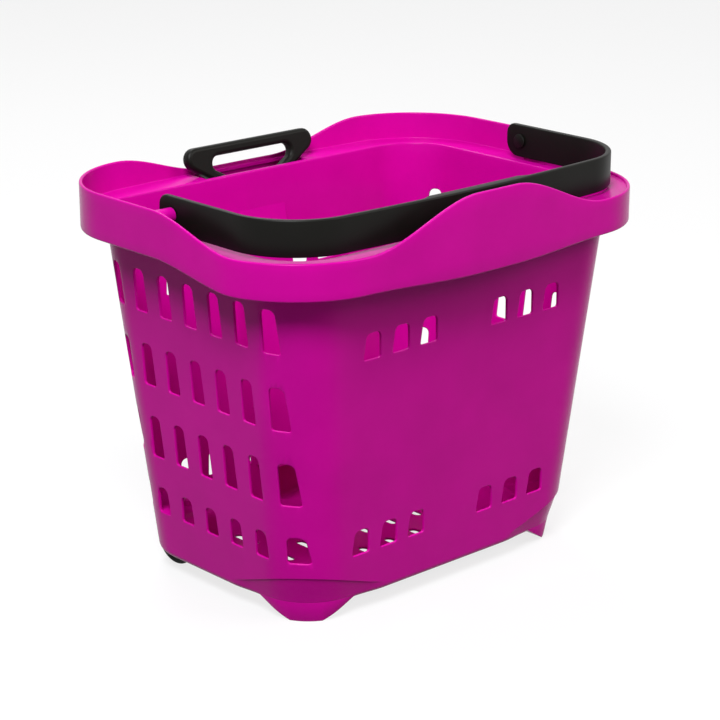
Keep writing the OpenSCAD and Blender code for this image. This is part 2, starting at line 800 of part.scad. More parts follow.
// Brackets: forks under the roof of the housings, which carry the axles
cheek_t = 4;
cheek_gap = 0.8;
cheek_half = hub_w / 2 + cheek_gap;
bracket_top = house_roof_z - seat_gap;
bracket_plate_t = 3.4;
bracket_half_y = 17;
axle_boss_r = 8.5;
module wheel_bracket() color(black)
    difference() {
        union() {
            block([wheel_x - cheek_half - cheek_t, wheel_y - bracket_half_y, bracket_top - bracket_plate_t],
                  [wheel_x + cheek_half + cheek_t, wheel_y + bracket_half_y, bracket_top]);
            for (s = [-1, 1])
                translate([wheel_x + s * (cheek_half + cheek_t / 2), wheel_y, wheel_d / 2])
                    rotate([90, 0, 90])
                        linear_extrude(height = cheek_t, center = true) {
                            circle(axle_boss_r);
                            polygon([[-axle_boss_r, 0], [axle_boss_r, 0],
                                [bracket_half_y, bracket_top - bracket_plate_t / 2 - wheel_d / 2],
                                [-bracket_half_y, bracket_top - bracket_plate_t / 2 - wheel_d / 2]]);
                        }
        }
        at_wheel() cylinder(d = axle_d + 2 * run_gap, h = 4 * cheek_half, center = true);
        at_bracket_screws() cylinder(d = screw_hole_d, h = 4 * bracket_plate_t, center = true);
    }
module wheel_bracket_left() mirror([1, 0, 0]) wheel_bracket();
module wheel_bracket_right() wheel_bracket();

axle_head_d = 12;
axle_head_t = 2;
clip_t = 1.4;
clip_d = 14;
axle_tail = 1.2;
cheek_face = cheek_half + cheek_t;
module axle() color(steel)
    at_wheel() {
        inner_end = -cheek_face - clip_t - axle_tail;
        outer_end = cheek_face + seat_gap + axle_head_t;
        translate([0, 0, outer_end - axle_head_t]) cylinder(d = axle_head_d, h = axle_head_t);
        translate([0, 0, inner_end]) cylinder(d = axle_d, h = outer_end - inner_end);
    }
module axle_left() mirror([1, 0, 0]) axle();
module axle_right() axle();

// Push-on clip with four slits on the inner end of the axle
clip_slits = 4;
slit_w = 1;
slit_l = 1.5;
module axle_clip() color(steel)
    at_wheel()
        translate([0, 0, -cheek_face - seat_gap - clip_t])
            difference() {
                cylinder(d = clip_d, h = clip_t);
                translate([0, 0, -past]) cylinder(d = axle_d + 2 * run_gap, h = clip_t + 2 * past);
                for (i = [0 : clip_slits - 1])
                    rotate([0, 0, i * 360 / clip_slits])
                        block([0, -slit_w / 2, -past], [axle_d / 2 + slit_l, slit_w / 2, clip_t + past]);
            }
module axle_clip_left() mirror([1, 0, 0]) axle_clip();
module axle_clip_right() axle_clip();

bracket_head_d = 6;
bracket_head_t = 1.6;
module bracket_screws() color(steel)
    for (s = [0, 1])
        mirror([s, 0, 0])
            at_bracket_screws() {
                translate([0, 0, -bracket_plate_t - 2 * seat_gap - bracket_head_t])
                    cylinder(d = bracket_head_d, h = bracket_head_t);
                translate([0, 0, -bracket_plate_t - 2 * seat_gap - bracket_head_t / 2])
                    cylinder(d = screw_d, h = bracket_plate_t + screw_boss_h - wall);
            }

basket_body();
carry_handle();
pivot_pin_left();
pivot_pin_right();
channel_cover();
top_guide();
cover_screws();
lower_rod();
lower_rod_foot();
rod_collar();
upper_rod();
upper_rod_foot();
pull_grip();
grip_pins();
wheel_hub_left();
wheel_hub_right();
tyre_left();
tyre_right();
axle_left();
axle_right();
axle_clip_left();
axle_clip_right();
wheel_bracket_left();
wheel_bracket_right();
bracket_screws();
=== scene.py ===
"""Looks of a rolling shopping basket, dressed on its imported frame. Sizes are in millimetres."""

import json
import math

import bmesh
import bpy
import numpy as np
from mathutils import Matrix, Vector

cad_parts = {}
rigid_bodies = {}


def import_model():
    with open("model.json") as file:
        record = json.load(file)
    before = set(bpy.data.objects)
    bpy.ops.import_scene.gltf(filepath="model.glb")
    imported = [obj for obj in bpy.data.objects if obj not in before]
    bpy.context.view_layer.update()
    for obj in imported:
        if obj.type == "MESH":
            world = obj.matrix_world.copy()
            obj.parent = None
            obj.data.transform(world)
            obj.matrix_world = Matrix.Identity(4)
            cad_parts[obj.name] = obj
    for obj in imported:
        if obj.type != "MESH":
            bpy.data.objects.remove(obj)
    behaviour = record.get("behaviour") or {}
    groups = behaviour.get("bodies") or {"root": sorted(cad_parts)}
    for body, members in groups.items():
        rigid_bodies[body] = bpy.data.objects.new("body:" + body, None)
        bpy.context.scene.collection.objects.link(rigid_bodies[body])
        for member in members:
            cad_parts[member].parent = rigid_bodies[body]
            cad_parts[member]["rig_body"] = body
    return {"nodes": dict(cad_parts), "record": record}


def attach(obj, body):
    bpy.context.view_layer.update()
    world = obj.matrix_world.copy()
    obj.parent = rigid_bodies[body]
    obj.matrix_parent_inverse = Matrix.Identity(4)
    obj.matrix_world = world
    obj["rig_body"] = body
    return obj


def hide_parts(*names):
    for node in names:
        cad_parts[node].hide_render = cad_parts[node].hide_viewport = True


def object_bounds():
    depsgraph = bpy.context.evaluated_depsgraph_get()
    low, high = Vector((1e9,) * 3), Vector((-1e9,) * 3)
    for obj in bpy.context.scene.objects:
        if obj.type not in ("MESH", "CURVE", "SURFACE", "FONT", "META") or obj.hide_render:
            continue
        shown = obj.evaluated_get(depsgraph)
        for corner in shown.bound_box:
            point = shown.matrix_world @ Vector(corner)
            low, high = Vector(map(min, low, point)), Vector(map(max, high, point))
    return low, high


MM = 0.001
# Reach of a cutter past the face that it cuts
PAST = 1
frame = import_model()
cad_low, cad_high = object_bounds()
NODES = frame["nodes"]
SLOTS = {part["node"]: part["material_slot"] for part in frame["record"]["subparts"]}

# Rim
RIM_LENGTH = (cad_high.x - cad_low.x) / MM
RIM_WIDTH = (cad_high.y - cad_low.y) / MM
RIM_CORNER = 90
LONG_BOW = 12
SHORT_BOW = 4
RIM_LOW = 382
CREST_RISE = 38
SIDE_RISE = 25.5
SKIRT_DEPTH = 36
SKIRT_LIFT = 15
SKIRT_SAG = 5
BAND_WALL = 3.5
LEDGE_DROP = 3.5
SIDE_FOOT_Y, SIDE_FULL_Y = -112, 5
CREST_FOOT_X, CREST_FULL_X = 160, 25
DIP_FOOT_X, DIP_FULL_X = 165, 45

# Tub
TUB_TOP = (456, 317)
TUB_BASE = (386, 260)
TUB_CORNER = 56
WALL = 3
FLOOR_LIFT = 17
BASE_ROUND = 7
LEDGE_Z = RIM_LOW - LEDGE_DROP
LEDGE_UNDER = LEDGE_Z - WALL
FLOOR_Z = FLOOR_LIFT + WALL
UNDER_FILLET = 3
LEDGE_FILLET = 1.2
LEDGE_EDGE = 2

# Slots: rows of height and length, columns in pitches
SIDE_ROWS = ((307, 44), (229, 44), (151, 44), (81, 28))
SIDE_COLUMNS = range(-3, 4)
SIDE_PITCH = 38
SIDE_SLOT_W = 18
LONG_ROWS = ((282, 27), (79, 26))
LONG_COLUMNS = (-3.3, -2.3, -1.3, 1.3, 2.3, 3.3)
LONG_PITCH = 37
LONG_SLOT_W = 22
SLOT_TAPER = 0.85
SLOT_TOP_ROUND = 6
SLOT_LOW_ROUND = 2.5
SLOT_EDGE = 0.9
# Turns at which the rounded edge of a slot has its points, in degrees
SLOT_TURNS = (80, 55, 30, 0)
DRAIN_COLUMNS = range(-3, 4)
DRAIN_ROWS = range(-1, 2)
DRAIN_PITCH = (36, 56)
DRAIN_W, DRAIN_L = 9, 34

# Carry handle
BAND_INSET = 22
BAND_HEIGHT = 35
BAND_THICK = 6
BAND_GAP = 3.5
BAND_LOW = LEDGE_Z + BAND_GAP
PIVOT_Z = BAND_LOW + BAND_HEIGHT / 2
HEEL_LENGTH = 19
HEEL_TOP_ROUND = 9
HEEL_LOW_ROUND = 15
HOLD_LENGTH = 130
HOLD_EXTRA = 5
HOLD_EASE = 14
BAND_EDGE = 1.8
PIVOT_D = 8
PIVOT_PLAY = 0.1
BOSS_D = 15
BOSS_EDGE = 0.8
BOSS_GAP = 0.6
BOSS_IN = RIM_LENGTH / 2 - BAND_INSET + BOSS_GAP
BOSS_OUT = RIM_LENGTH / 2 - BAND_WALL / 2
BOSS_PLAY = 0.3
BOSS_BLIND = 7
WEB_SETBACK = 1.4

# Gussets under the ledge: columns in pitches of the slots
SIDE_GUSSETS = range(-2, 3)
LONG_GUSSETS = range(-4, 5)
CHANNEL_COLUMNS = range(-1, 2)
GUSSET_T, GUSSET_DROP = 2, 14
GUSSET_EDGE, GUSSET_EDGE_STEPS = 0.3, 2

# Pull handle: heights run along the rods, up from the ledge
ROD_LEAN = 12
ROD_SETBACK = 22.5
ROD_Y = RIM_WIDTH / 2 - ROD_SETBACK
SLIDE_GAP = 0.3
SLEEVE_W, SLEEVE_T, SLEEVE_LENGTH = 36, 10, 277
SLEEVE_FOOT = 3
COLLAR_FLANGE = 3
NECK_LOW = -29
SLEEVE_TOP = NECK_LOW - COLLAR_FLANGE - SLIDE_GAP
SLEEVE_LOW = SLEEVE_TOP - SLEEVE_LENGTH
GUIDE_LENGTH = 30
GUIDE_TOP = SLEEVE_TOP - COLLAR_FLANGE
GUIDE_LOW = GUIDE_TOP - GUIDE_LENGTH

# Channel of the rods, its cover and the screws
EAR_W = 2
SEAT_W = 8
CHANNEL_LOW = SLEEVE_LOW - 2 * SLEEVE_FOOT
CHANNEL_HALF = SLEEVE_W / 2 + SLIDE_GAP + EAR_W
CHANNEL_DEPTH = SLEEVE_T / 2 + SLIDE_GAP
CHANNEL_REACH = 70
SEAT_HALF = CHANNEL_HALF + SEAT_W
COVER_T = 2
COVER_LOW = CHANNEL_LOW + COVER_T
COVER_SCREW_X = CHANNEL_HALF + SEAT_W / 2
COVER_SCREW_ROWS = 3
COVER_SCREW_END = 18
COVER_HEAD_T = 2
CROSS_L, CROSS_W, CROSS_DEEP = 3.6, 0.9, 0.9

# Grip: a loop round a hand hole, each drawn round a low and a high pair of circles
GRIP_WIDTH = 170
GRIP_T = 12
GRIP_RISE = 31
GRIP_BAR = 12
GRIP_EDGE, GRIP_EDGE_STEPS = 4, 4
NECK_HALF, NECK_H = 22, 10
SHOULDER_HALF, SHOULDER_RISE = 30, 22
HAND_HALF, HAND_LOW_HALF, HAND_HEIGHT = 53, 33, 27
LOOP_R, HAND_R = 12, 8
LOOP_LOW = (SHOULDER_HALF, NECK_LOW + SHOULDER_RISE)
LOOP_HIGH = (GRIP_WIDTH / 2 - LOOP_R, GRIP_RISE - LOOP_R)
HAND_HIGH = (HAND_HALF - HAND_R, GRIP_RISE - GRIP_BAR - HAND_R)
HAND_LOW = (HAND_LOW_HALF - HAND_R, HAND_HIGH[1] - HAND_HEIGHT + 2 * HAND_R)
WELL_TUCK, WELL_MARGIN = 16, 4
WELL_HALF = GRIP_WIDTH / 2 - WELL_TUCK

# Wheels in their pockets
WHEEL_INSET, AXLE_INSET = 29, 36
WHEEL_X = TUB_BASE[0] / 2 - WHEEL_INSET
WHEEL_Y = TUB_BASE[1] / 2 - AXLE_INSET
WHEEL_D, WHEEL_W = 58, 20
TYRE_GAP = 3
HOUSE_GAP = 5
HOUSE_SIDE = 14
HOUSE_INNER_X = WHEEL_X - WHEEL_W / 2 - HOUSE_SIDE
HOUSE_FRONT_Y = WHEEL_Y - WHEEL_D / 2 - HOUSE_GAP
HOUSE_ROOF_Z = WHEEL_D + HOUSE_GAP
HOUSE_CORNER = 12
MOUTH_LIP = 2
MOUTH_INSET = WALL + MOUTH_LIP
BRACKET_SCREW_Y = 12
SCREW_BOSS_D, SCREW_BOSS_H = 9, 9

# Front feet, under a crease that slopes down from each corner
CREASE_HEIGHT = 50
CREASE_STEP = 1.2
CREASE_SLOPE = 0.36
# Height under the crease at which its step is whole
CREASE_FADE = 10
# Heights over the crease at which the wall is plain again
CREASE_EDGES = (0.4, 1.6)
# Lean of the wall under the crease, and its height where there is no crease
TOE_LEAN = 0.2
TOE_LEAST = 1
TOE_STEPS = 6
# From here up the wall has level rings
WALL_FOOT = 60
FOOT_REACH = 37
FOOT_RAMP = 28
FOOT_TAPER = 4
FOOT_TOP = FLOOR_LIFT + BASE_ROUND
FOOT_SINK = 0.3
FOOT_EDGE = 3

# Steps along the outlines and round the edges
CORNER_STEPS = 18
LONG_STEPS = 44
SHORT_STEPS = 26
WALL_STEPS = 26
ROUND_STEPS = 8
EDGE_STEPS = 4
CIRCLE_STEPS = 40
SLOT_STEPS = 5
DRAIN_STEPS = 10
LOOP_LOW_STEPS, LOOP_HIGH_STEPS = 4, 12


def ease(u):
    """A smooth rise from 0 to 1."""
    v = np.clip(u, 0, 1)
    return v * v * (3 - 2 * v)


def linear(colour):
    """An sRGB colour of 0 to 255 as linear red, green, blue and alpha."""
    c = np.array(colour) / 255
    return (*np.where(c <= 0.04045, c / 12.92, ((c + 0.055) / 1.055) ** 2.4), 1.0)


# Outlines in plan


def arc(centre, radius, start, steps=CORNER_STEPS, sweep=90):
    """Points along an arc, with its start and its sweep in degrees."""
    t = np.radians(start + np.linspace(0, sweep, steps + 1))
    return np.column_stack((centre[0] + radius * np.cos(t), centre[1] + radius * np.sin(t)))


def circle(radius, centre=(0, 0)):
    """Points round a whole circle."""
    return arc(centre, radius, 0, CIRCLE_STEPS - 1, 360 - 360 / CIRCLE_STEPS)


def between(p, q, n):
    """The points that part a straight stretch into n, without its ends."""
    return np.array(p) + np.outer(np.arange(1, n) / n, np.subtract(q, p))


def outline(a, b, r):
    """A rounded rectangle of half sizes a and b, counter-clockwise, with a fixed count of points."""
    u, v = a - r, b - r
    return np.vstack([
        arc((u, v), r, 0), between((u, b), (-u, b), LONG_STEPS),
        arc((-u, v), r, 90), between((-a, v), (-a, -v), SHORT_STEPS),
        arc((-u, -v), r, 180), between((-u, -b), (u, -b), LONG_STEPS),
        arc((u, -v), r, 270), between((a, -v), (a, v), SHORT_STEPS),
    ])


def bowed(points, a, b, bow_x, bow_y):
    """An outline of half sizes a and b with its sides bowed out in their middle."""
    x, y = points.T
    x_stretch = 1 + bow_x / a * (1 - (y / b) ** 2)
    y_stretch = 1 + bow_y / b * (1 - (x / a) ** 2)
    return np.column_stack((x * x_stretch, y * y_stretch))


def rim_plan(inset):
    """The rim in plan, or a line that far inside it."""
    a = RIM_LENGTH / 2 - SHORT_BOW - inset
    b = RIM_WIDTH / 2 - LONG_BOW - inset
    return bowed(outline(a, b, RIM_CORNER - inset), a, b, SHORT_BOW, LONG_BOW)


def half_sizes(z):
    """Half the length and half the width of the leaning walls at a height."""
    share = (z - FLOOR_LIFT) / (LEDGE_UNDER - FLOOR_LIFT)
    return [(low + (high - low) * share) / 2 for low, high in zip(TUB_BASE, TUB_TOP)]


def wall_plan(z, inset):
    """The outer wall in plan at a height, or a line that far inside it."""
    a, b = half_sizes(z)
    return outline(a - inset, b - inset, TUB_CORNER - inset)


def raised(points, z):
    """A plan at one height, or with a height for each of its points."""
    return np.column_stack((points, np.broadcast_to(z, len(points))))


# The wave of the rim
plan_x, plan_y = rim_plan(0).T
side_wave = ease((plan_y - SIDE_FOOT_Y) / (SIDE_FULL_Y - SIDE_FOOT_Y))
crest_wave = ease((CREST_FOOT_X - abs(plan_x)) / (CREST_FOOT_X - CREST_FULL_X)) * (plan_y < 0)
dip_wave = ease((DIP_FOOT_X - abs(plan_x)) / (DIP_FOOT_X - DIP_FULL_X)) * (plan_y > 0)
rim_edge = RIM_LOW + SIDE_RISE * (side_wave - dip_wave) + CREST_RISE * crest_wave
skirt_edge = RIM_LOW - SKIRT_DEPTH + SKIRT_LIFT * side_wave - SKIRT_SAG * crest_wave

# The creases over the front feet: under them the wall steps and leans in.
# The gaps to the end and to the front add up to the least in the middle of a corner.
base_x, base_y = wall_plan(FLOOR_LIFT, 0).T
corner_gap = TUB_BASE[0] / 2 - abs(base_x) + TUB_BASE[1] / 2 + base_y
least_gap = (2 - math.sqrt(2)) * TUB_CORNER
crease_fall = np.maximum(CREASE_HEIGHT - CREASE_SLOPE * (corner_gap - least_gap) - FOOT_TOP, 0)
crease_z = FOOT_TOP + TOE_LEAST + crease_fall
toe_step = CREASE_STEP * ease(crease_fall / CREASE_FADE)
toe_lean = TOE_LEAN * crease_fall
toe_inset = toe_step + toe_lean


def wall_ring(z, inset, lift=0):
    """A ring of the leaning wall, with one height and inset for all points or one for each."""
    foot, top = wall_plan(FLOOR_LIFT, 0), wall_plan(LEDGE_UNDER, 0)
    inward = wall_plan(FLOOR_LIFT, 1) - foot
    heights = np.broadcast_to(z, len(foot))
    insets = np.broadcast_to(inset, len(foot))
    share = (heights - FLOOR_LIFT) / (LEDGE_UNDER - FLOOR_LIFT)
    plan = foot + (top - foot) * share[:, None] + inward * insets[:, None]
    return raised(plan, heights + lift)


def toe_rings(inset, lift):
    """The wall from its rounded bottom edge to just over the creases."""
    rings = []
    for share in np.arange(1, TOE_STEPS + 1) / TOE_STEPS:
        z = FOOT_TOP + (crease_z - FOOT_TOP) * share
        rings.append(wall_ring(z, inset + toe_step + toe_lean * (1 - share), lift))
    for above in CREASE_EDGES:
        rings.append(wall_ring(crease_z + above, inset, lift))
    return rings


# Meshes


def loft(rings):
    """Points and faces of a closed skin through rings of equal length, capped at both ends."""
    n = len(rings[0])
    last = (len(rings) - 1) * n
    faces = [(k + i, k + (i + 1) % n, k + n + (i + 1) % n, k + n + i)
             for k in range(0, last, n) for i in range(n)]
    faces.append(tuple(reversed(range(n))))
    faces.append(tuple(range(last, last + n)))
    return np.vstack(rings), faces


def along_x(profile, ends):
    """Points and faces of a profile in Y and Z carried along X from end to end."""
    return loft([np.column_stack((np.full(len(profile), x), profile)) for x in ends])


def block(low, high):
    """Points and faces of a box given by its lowest and highest corners."""
    (x0, y0, z0), (x1, y1, z1) = low, high
    ring = np.array([(x0, y0), (x1, y0), (x1, y1), (x0, y1)], float)
    return loft([raised(ring, z0), raised(ring, z1)])


def joined(shapes):
    """Several shapes as one list of points and one of faces."""
    points, faces, count = [], [], 0
    for p, f in shapes:
        points.append(p)
        faces += [tuple(i + count for i in face) for face in f]
        count += len(p)
    return np.vstack(points), faces


def placed(shape, matrix):
    """A shape moved by a matrix in millimetres."""
    points, faces = shape
    m = np.array(matrix)
    return points @ m[:3, :3].T + m[:3, 3], faces


def mirrored(shape):
    """A shape and its mirror image in the middle plane of the basket."""
    points, faces = shape
    return joined([shape, (points * (-1, 1, 1), [face[::-1] for face in faces])])


def new_object(name, data):
    """A scene object for a mesh, a curve, a lamp or a camera."""
    obj = bpy.data.objects.new(name, data)
    bpy.context.scene.collection.objects.link(obj)
    return obj


def new_piece(name, shape):
    """A mesh object from points in millimetres and faces, with its normals outward."""
    points, faces = shape
    mesh = bpy.data.meshes.new(name)
    mesh.from_pydata((points * MM).tolist(), [], faces)
    shell = bmesh.new()
    shell.from_mesh(mesh)
    bmesh.ops.recalc_face_normals(shell, faces=shell.faces)
    shell.to_mesh(mesh)
    shell.free()
    return new_object(name, mesh)


def current_mesh(obj):
    """A mesh of an object as its modifiers or its curve settings give it."""
    evaluated = obj.evaluated_get(bpy.context.evaluated_depsgraph_get())
    return bpy.data.meshes.new_from_object(evaluated)


def settle(piece):
    """Replaces a piece's mesh by the one that its modifiers give."""
    mesh = current_mesh(piece)
    piece.modifiers.clear()
    piece.data = mesh


def use_up(cutter, piece, operation="DIFFERENCE"):
    """Cuts a cutter out of a piece, or keeps what both share or adds both, and removes the cutter."""
    modifier = piece.modifiers.new("carve", "BOOLEAN")
    modifier.object = cutter
    modifier.operation = operation
    modifier.solver = "EXACT"
    settle(piece)
    bpy.data.objects.remove(cutter)


def carve(piece, shape, operation="DIFFERENCE"):
    """The same with a cutter that is made from a shape."""
    use_up(new_piece("cutter", shape), piece, operation)


def soften(piece, width, segments=3, angle=35):
    """Rounds the sharp edges of a piece."""
    modifier = piece.modifiers.new("soften", "BEVEL")
    modifier.width = width * MM
    modifier.segments = segments
    modifier.limit_method = "ANGLE"
    modifier.angle_limit = math.radians(angle)
    modifier.use_clamp_overlap = True
    modifier.harden_normals = True
    settle(piece)


def shade(piece, angle=40):
    """Smooth shading, apart from the edges that turn by more than an angle."""
    piece.data.shade_smooth()
    piece.data.set_sharp_from_angle(angle=math.radians(angle))


def stand_for(piece, node, look):
    """A finished piece takes the place of a CAD node, on its body and in its material slot."""
    shade(piece)
    piece.data.materials.clear()
    piece.data.materials.append(look)
    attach(piece, NODES[node]["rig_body"])
    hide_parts(node)


# Materials


# Noise: sizes in millimetres, counts of octaves and the range that most of its values fall in
MOTTLE_SIZE, MOTTLE_DETAIL = 60, 4
GLOSS_SIZE, GLOSS_DETAIL = 25, 3
GRAIN_SIZE, GRAIN_DETAIL, GRAIN_DEPTH = 0.8, 2, 0.2
NOISE_LOW, NOISE_HIGH = 0.3, 0.7


def noise(tree, size, detail):
    """Noise that is fixed to the object."""
    place = tree.nodes.new("ShaderNodeTexCoord")
    texture = tree.nodes.new("ShaderNodeTexNoise")
    texture.inputs["Scale"].default_value = 1 / (size * MM)
    texture.inputs["Detail"].default_value = detail
    tree.links.new(place.outputs["Object"], texture.inputs["Vector"])
    return texture.outputs["Fac"]


def spanned(tree, value, low, high):
    """Noise stretched to a range of values."""
    span = tree.nodes.new("ShaderNodeMapRange")
    span.inputs["From Min"].default_value = NOISE_LOW
    span.inputs["From Max"].default_value = NOISE_HIGH
    span.inputs["To Min"].default_value = low
    span.inputs["To Max"].default_value = high
    tree.links.new(value, span.inputs["Value"])
    return span.outputs["Result"]


def mottled(tree, colour, mottle):
    """A colour that is a little darker and lighter from place to place."""
    tint = tree.nodes.new("ShaderNodeMix")
    tint.data_type = "RGBA"
    base = np.array(linear(colour)[:3])
    tint.inputs["A"].default_value = (*(base * (1 - mottle)), 1)
    tint.inputs["B"].default_value = (*np.minimum(base * (1 + mottle), 1), 1)
    patches = noise(tree, MOTTLE_SIZE, MOTTLE_DETAIL)
    tree.links.new(spanned(tree, patches, 0, 1), tint.inputs["Factor"])
    return tint.outputs["Result"]


def grained(tree, strength):
    """The normal of a surface with a fine grain."""
    relief = tree.nodes.new("ShaderNodeBump")
    relief.inputs["Strength"].default_value = strength
    relief.inputs["Distance"].default_value = GRAIN_DEPTH * MM
    tree.links.new(noise(tree, GRAIN_SIZE, GRAIN_DETAIL), relief.inputs["Height"])
    return relief.outputs["Normal"]


def surface(name, colour, roughness, metallic=0.0, gloss=0.5, mottle=0.05, bump=0.03, spread=0.03):
    """A moulded or drawn surface: a broad mottle of its colour, uneven gloss and a fine grain."""
    look = bpy.data.materials.new(name)
    look.use_nodes = True
    tree = look.node_tree
    inputs = tree.nodes["Principled BSDF"].inputs
    inputs["Metallic"].default_value = metallic
    inputs["Specular IOR Level"].default_value = gloss
    patches = noise(tree, GLOSS_SIZE, GLOSS_DETAIL)
    uneven = spanned(tree, patches, roughness - spread, roughness + spread)
    tree.links.new(mottled(tree, colour, mottle), inputs["Base Color"])
    tree.links.new(uneven, inputs["Roughness"])
    tree.links.new(grained(tree, bump), inputs["Normal"])
    return look


MAGENTA = surface("tub_plastic", (190, 3, 140), roughness=0.24, gloss=0.06)
BLACK = surface("handle_plastic", (14, 14, 11), roughness=0.42, gloss=0.12, mottle=0.12, bump=0.08)
GREY = surface("hub_plastic", (60, 60, 60), roughness=0.5, gloss=0.2, mottle=0.08, bump=0.1)
RUBBER = surface("tyre_rubber", (20, 20, 20), roughness=0.75, gloss=0.2, mottle=0.15, bump=0.2)
ALUMINIUM = surface("rod_metal", (205, 207, 210), roughness=0.32, metallic=1, mottle=0.03, spread=0.08)
STEEL = surface("steel", (196, 196, 198), roughness=0.3, metallic=1, mottle=0.04, spread=0.08)
LOOKS = {"tub_plastic": MAGENTA, "handle_plastic": BLACK, "hub_plastic": GREY,
         "tyre_rubber": RUBBER, "rod_metal": ALUMINIUM, "steel": STEEL}


# The tub


def quarter(steps):
    """The turns of a quarter circle, in radians."""
    return np.radians(np.linspace(0, 90, steps + 1))


def outer_rings(depth):
    """The outer wall from the underside to the ledge, or a skin that deep inside it."""
    rings = []
    for t in quarter(ROUND_STEPS):
        z = FLOOR_LIFT + BASE_ROUND * (1 - math.cos(t))
        inset = depth + toe_inset + BASE_ROUND * (1 - math.sin(t))
        rings.append(wall_ring(z, inset, depth))
    rings += toe_rings(depth, depth)
    for z in np.linspace(WALL_FOOT, LEDGE_UNDER - UNDER_FILLET, WALL_STEPS):
        rings.append(raised(wall_plan(z, depth), z))
    return rings


def band_rings():
    """From the wall under the ledge, round the skirt and the rim edge, to the ledge inside the rim."""
    lip = BAND_WALL / 2
    rings = []
    for t in quarter(EDGE_STEPS):
        out = UNDER_FILLET * (1 - math.cos(t))
        rings.append(raised(wall_plan(LEDGE_UNDER, -out), LEDGE_UNDER - UNDER_FILLET * (1 - math.sin(t))))
    rings.append(raised(rim_plan(BAND_WALL + LEDGE_FILLET), LEDGE_UNDER))
    rings.append(raised(rim_plan(BAND_WALL), LEDGE_UNDER - LEDGE_FILLET))
    for t in np.radians(np.linspace(180, 360, 2 * EDGE_STEPS + 1)):
        rings.append(raised(rim_plan(lip - lip * math.cos(t)), skirt_edge + lip + lip * math.sin(t)))
    low, high = skirt_edge + lip, rim_edge - lip
    for share in np.linspace(0, 1, EDGE_STEPS + 2)[1:-1]:
        rings.append(raised(rim_plan(0), low + (high - low) * share))
    for t in np.radians(np.linspace(0, 180, 2 * EDGE_STEPS + 1)):
        rings.append(raised(rim_plan(lip - lip * math.cos(t)), high + lip * math.sin(t)))
    for t in quarter(EDGE_STEPS):
        inset = BAND_WALL + LEDGE_FILLET * (1 - math.cos(t))
        rings.append(raised(rim_plan(inset), LEDGE_Z + LEDGE_FILLET * (1 - math.sin(t))))
    return rings


def inner_rings():
    """From the edge of the ledge down the inside to the floor."""
    rings = []
    for t in quarter(EDGE_STEPS):
        inset = WALL - LEDGE_EDGE * (1 - math.sin(t))
        rings.append(raised(wall_plan(LEDGE_Z, inset), LEDGE_Z - LEDGE_EDGE * (1 - math.cos(t))))
    for z in np.linspace(LEDGE_Z - 2 * LEDGE_EDGE, WALL_FOOT, WALL_STEPS):
        rings.append(raised(wall_plan(z, WALL), z))
    rings += reversed(toe_rings(WALL, 0))
    inner_round = BASE_ROUND - WALL
    for t in reversed(quarter(ROUND_STEPS)):
        z = FLOOR_Z + inner_round * (1 - math.cos(t))
        rings.append(wall_ring(z, WALL + toe_inset + inner_round * (1 - math.sin(t))))
    return rings


def slot_outline(width, height, grow):
    """A slot that is narrower and rounder at its top, grown by a margin."""
    corners = []
    for side, end, start in ((1, -1, 270), (1, 1, 0), (-1, 1, 90), (-1, -1, 180)):
        r = SLOT_TOP_ROUND if end > 0 else SLOT_LOW_ROUND
        half = width / 2 * (SLOT_TAPER if end > 0 else 1)
        corners.append(arc((side * (half - r), end * (height / 2 - r)), r + grow, start, SLOT_STEPS))
    return np.vstack(corners)


def drain_outline(grow):
    """A slot with round ends, grown by a margin."""
    r = DRAIN_W / 2
    end = DRAIN_L / 2 - r
    return np.vstack([arc((0, end), r + grow, 0, DRAIN_STEPS, 180),
                      arc((0, -end), r + grow, 180, DRAIN_STEPS, 180)])


def cut_profile():
    """Depth below the outer face and growth of a slot, with a rounded edge at both faces."""
    turns = np.radians(SLOT_TURNS)
    near = [(-SLOT_EDGE * (1 - math.sin(t)), SLOT_EDGE * (1 - math.cos(t))) for t in turns]
    far = [(-WALL - d, grow) for d, grow in reversed(near)]
    return [(WALL / 2, SLOT_EDGE), *near, *far, (-1.5 * WALL, SLOT_EDGE)]


def wall_slot(along, z, width, height, long_side, side):
    """Cutter for one slot: its rings follow the wall, also where that turns into a corner."""
    rings = []
    for depth, grow in cut_profile():
        points = slot_outline(width, height, grow)
        s, h = points[:, 0] + along, points[:, 1] + z
        a, b = half_sizes(h)
        reach, flat = (b, a - TUB_CORNER) if long_side else (a, b - TUB_CORNER)
        over = np.maximum(abs(s) - flat, 0)
        cosine = np.sqrt(1 - (over / TUB_CORNER) ** 2)
        out = side * (reach - TUB_CORNER + (TUB_CORNER + depth) * cosine)
        s = s + depth * np.sign(s) * over / TUB_CORNER
        rings.append(np.column_stack((s, out, h) if long_side else (out, s, h)))
    return loft(rings)


def floor_slot(x, y):
    """Cutter for one drain slot."""
    return loft([raised(drain_outline(grow) + (x, y), FLOOR_Z + depth) for depth, grow in cut_profile()])


def all_slots():
    """Cutters for all slots of the walls and the floor."""
    shapes = []
    for side in (-1, 1):
        for z, height in SIDE_ROWS:
            shapes += [wall_slot(c * SIDE_PITCH, z, SIDE_SLOT_W, height, False, side) for c in SIDE_COLUMNS]
        for z, height in LONG_ROWS:
            shapes += [wall_slot(c * LONG_PITCH, z, LONG_SLOT_W, height, True, side) for c in LONG_COLUMNS]
    x_pitch, y_pitch = DRAIN_PITCH
    shapes += [floor_slot(i * x_pitch, j * y_pitch) for i in DRAIN_COLUMNS for j in DRAIN_ROWS]
    return joined(shapes)


ON_RODS = Matrix.Translation((0, ROD_Y, LEDGE_Z)) @ Matrix.Rotation(math.radians(-ROD_LEAN), 4, "X")


def rod_block(low, high):
    """A box in the leaning frame of the rods."""
    return placed(block(low, high), ON_RODS)


